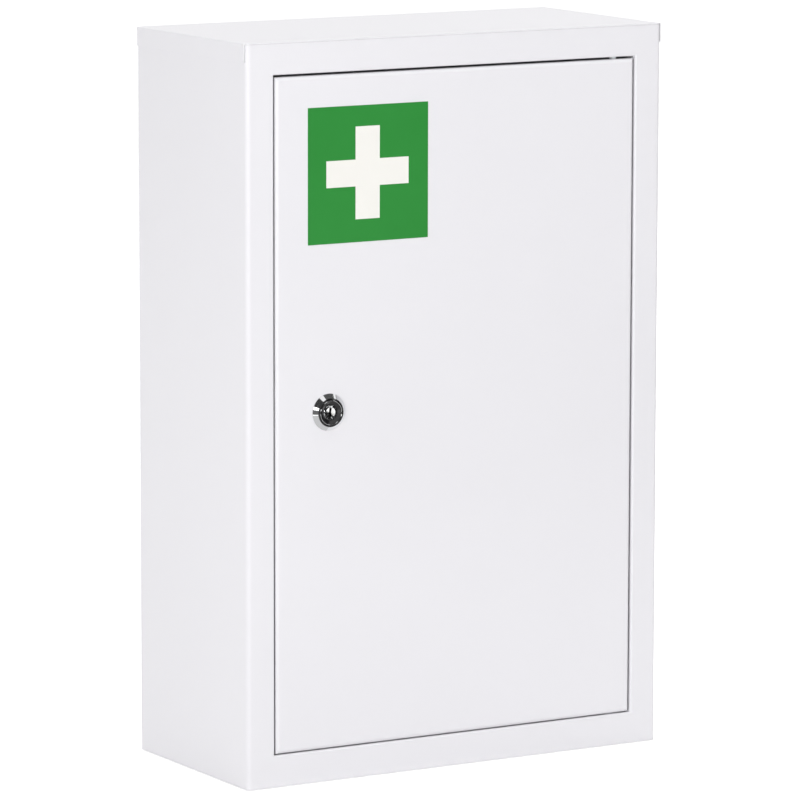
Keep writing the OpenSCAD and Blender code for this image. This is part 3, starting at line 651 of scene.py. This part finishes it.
# %% Wind and cut the thread
STEPS, FLAT = 72, 0.0066
wind = thread.modifiers.new("wind", "SCREW")
wind.axis, wind.screw_offset, wind.iterations = "Y", PITCH, turns
wind.steps = wind.render_steps = STEPS
bpy.ops.object.modifier_apply(modifier=wind.name)
bpy.ops.object.transform_apply(location=True, rotation=True, scale=True)
bpy.ops.object.mode_set(mode="EDIT")
bpy.ops.mesh.select_all(action="DESELECT")
bpy.ops.mesh.select_mode(type="EDGE")
bpy.ops.mesh.select_non_manifold()
bpy.ops.mesh.edge_face_add()
for side in (-1, 1):
    bpy.ops.mesh.select_all(action="SELECT")
    bpy.ops.mesh.bisect(plane_co=(LOCK.x, 0, LOCK.z + side * FLAT), plane_no=(0, 0, side),
                        clear_outer=True, use_fill=True)
face_outwards()
settle(thread, "barrel_thread", "door", casting)

# %% [markdown]
# ## The floor and the backdrop
# The floor is a plain pale sheet. To the camera it should be as white as a paper backdrop, so part of its
# brightness is its own for camera, mirror and glass rays. The rest is ordinary shading, so it still darkens
# where the cabinet keeps the light from it. To all other rays it is only pale paint that reflects some light.

# %% Floor
FLOOR_SIZE, FLOOR_DROP, FLOOR_GLOW = 12, 0.0005, 0.75


def seen_directly(tree):
    """One for rays from the camera, off mirrors and through glass, and zero for all others."""
    rays = put(tree, "ShaderNodeLightPath").outputs
    return calc(tree, "MAXIMUM", rays["Is Camera Ray"],
                calc(tree, "MAXIMUM", rays["Is Glossy Ray"], rays["Is Transmission Ray"]))


alone()
bpy.ops.mesh.primitive_plane_add(size=FLOOR_SIZE, location=(0, 0, -FLOOR_DROP))
floor = bpy.context.object
floor.name = "studio_floor"
sheet_white, tree, shader = fresh_material("studio_floor", Roughness=0.9, Specular_IOR_Level=0.1)
fibre = noise(tree, object_place(tree), 40.0, Detail=4.0)
tie(tree, blend_colours(tree, fibre, (0.72, 0.72, 0.72), (0.76, 0.76, 0.76)), shader.inputs["Base Color"])
glow = put(tree, "ShaderNodeEmission",
           {"Color": (1, 1, 1, 1), "Strength": calc(tree, "MULTIPLY", seen_directly(tree), FLOOR_GLOW)})
both = put(tree, "ShaderNodeAddShader", {0: shader.outputs[0], 1: glow.outputs[0]})
tie(tree, both.outputs[0], tree.nodes["Material Output"].inputs["Surface"])
floor.data.materials.append(sheet_white)
print("floor", floor.dimensions.x, "m across")

# %% [markdown]
# ## The world
# A white object on white needs very even light, so the world gives about half of it. The camera, mirrors and
# glass see it as full white paper.

# %% World
WORLD_LEVEL = 0.48
world = bpy.data.worlds.new("studio")
bpy.context.scene.world = world
world.use_nodes = True
tree = world.node_tree
paper = tree.nodes["Background"]
paper.inputs["Color"].default_value = (1, 1, 1, 1)
tie(tree, spread(tree, seen_directly(tree), WORLD_LEVEL, 1.0), paper.inputs["Strength"])
print("world at", WORLD_LEVEL)

# %% [markdown]
# ## The lamps
# The key light is a large softbox low at the left front. It meets the upright bends straight on and the two
# big faces at a slant, which is what makes a folded edge shine a little brighter than the sheets beside it. A
# fill at the right front evens out the door, one lamp above lights the lid, and two behind do the same for
# the back and the right side, so that the paint has its own colour from everywhere.

# %% Lamps
def facing(aim, bearing, height, distance):
    """The matrix of something that faces a point. Bearings run from the front (0) to the right (90)."""
    a, e = math.radians(bearing), math.radians(height)
    out = Vector((math.sin(a) * math.cos(e), -math.cos(a) * math.cos(e), math.sin(e)))
    return Matrix.Translation(aim + distance * out) @ out.to_track_quat("Z", "Y").to_matrix().to_4x4()


def softbox(name, aim, bearing, height, distance, width, tall, power):
    """An area lamp. The bearing and the height are in degrees, the lengths in metres, the power in watts."""
    lamp = bpy.data.lights.new(name, "AREA")
    lamp.shape, lamp.size, lamp.size_y, lamp.energy = "RECTANGLE", width, tall, power
    thing = bpy.data.objects.new(name, lamp)
    thing.matrix_world = facing(aim, bearing, height, distance)
    thing.visible_glossy = False
    bpy.context.scene.collection.objects.link(thing)
    print(name, "at", [round(c, 2) for c in thing.location], power, "W")


KEY = (MIDDLE, -51, 8, 2.4, 1.0, 1.0)
softbox("key_softbox", *KEY, 24)
softbox("fill_softbox", MIDDLE, 28, 36, 2.4, 1.2, 1.2, 13.5)
softbox("top_softbox", MIDDLE, 0, 80, 2.2, 1.4, 1.4, 8.5)
softbox("rear_softbox", MIDDLE, 176, 25, 2.6, 1.4, 1.4, 21)
softbox("right_softbox", MIDDLE, 118, 12, 2.6, 1.4, 1.4, 15)

# %% [markdown]
# ## Cards for the mirrors
# Chrome and gloss black show only what stands round them. A studio that is white all round makes chrome look
# like paper, so photographers stand black and grey cards just outside the picture. A card here is seen by
# mirror rays alone: it takes no light from the cabinet and throws no shadow. The lamps are hidden from mirror
# rays, and a bright card stands for the key's cloth front, so that plated steel shines without burning out.
# The large dark card that stands at the right front is what the flat black face mirrors.

# %% Cards
def card(name, aim, bearing, height, distance, width, tall, shade):
    """A card that shines by itself with one shade. Angles in degrees, lengths in metres."""
    alone()
    bpy.ops.mesh.primitive_plane_add(size=1)
    thing = bpy.context.object
    thing.name = name
    thing.scale = (width, tall, 1)
    bpy.ops.object.transform_apply(location=False, rotation=False, scale=True)
    thing.matrix_world = facing(aim, bearing, height, distance)
    board = bpy.data.materials.new(name)
    board.use_nodes = True
    tree = board.node_tree
    tree.nodes.remove(tree.nodes["Principled BSDF"])
    tone = put(tree, "ShaderNodeEmission", {"Color": (shade, shade, shade, 1)})
    tie(tree, tone.outputs[0], tree.nodes["Material Output"].inputs["Surface"])
    thing.data.materials.append(board)
    thing.visible_camera = thing.visible_diffuse = thing.visible_shadow = False
    thing.visible_transmission = thing.visible_volume_scatter = False
    print(name, "at", [round(c, 2) for c in thing.location], "shade", shade)


DARK_WIDTH, DARK_TALL = 1.6, 0.95
card("card_key_front", *KEY, 2.4)
card("card_front_right", Vector((LOCK.x, LOCK.y, DARK_TALL / 2)), 57, 0, 0.85, DARK_WIDTH, DARK_TALL, 0.02)

# %% [markdown]
# The bezel is a cone, so each clock position on it mirrors one direction. That direction follows from the
# cone's slope and the place of the camera, and the cards for the bezel are set out by it: a short dark run at
# ten o'clock, another at twelve, a narrow grey one at nine, and grey floor below.

# %% Cards for the bezel
BEZEL_RISE, BEZEL_RUN = 2.4, 2.6


def seen_in_bezel(clock):
    """Bearing and height of what the camera sees in the bezel, some degrees clockwise from its top."""
    t = math.radians(clock)
    normal = Vector((BEZEL_RISE * math.sin(t), -BEZEL_RUN, BEZEL_RISE * math.cos(t))).normalized()
    to_eye = (eye - LOCK).normalized()
    seen = 2 * normal.dot(to_eye) * normal - to_eye
    return math.degrees(math.atan2(seen.x, -seen.y)), math.degrees(math.asin(seen.z))


for run, shade in (((-62, -53, -44), 0.05), ((-15.3, -6, 5), 0.10)):
    for clock in run:
        card(f"card_at_{abs(clock):.0f}", LOCK, *seen_in_bezel(clock), 1.2, 0.34, 0.34, shade)
card("card_nine", LOCK, *seen_in_bezel(-86), 0.55, 0.17, 0.20, 0.16)
card("card_floor", Vector((-0.30, -0.27, 0.003)), 0, 90, 0, 0.80, 0.40, 0.66)
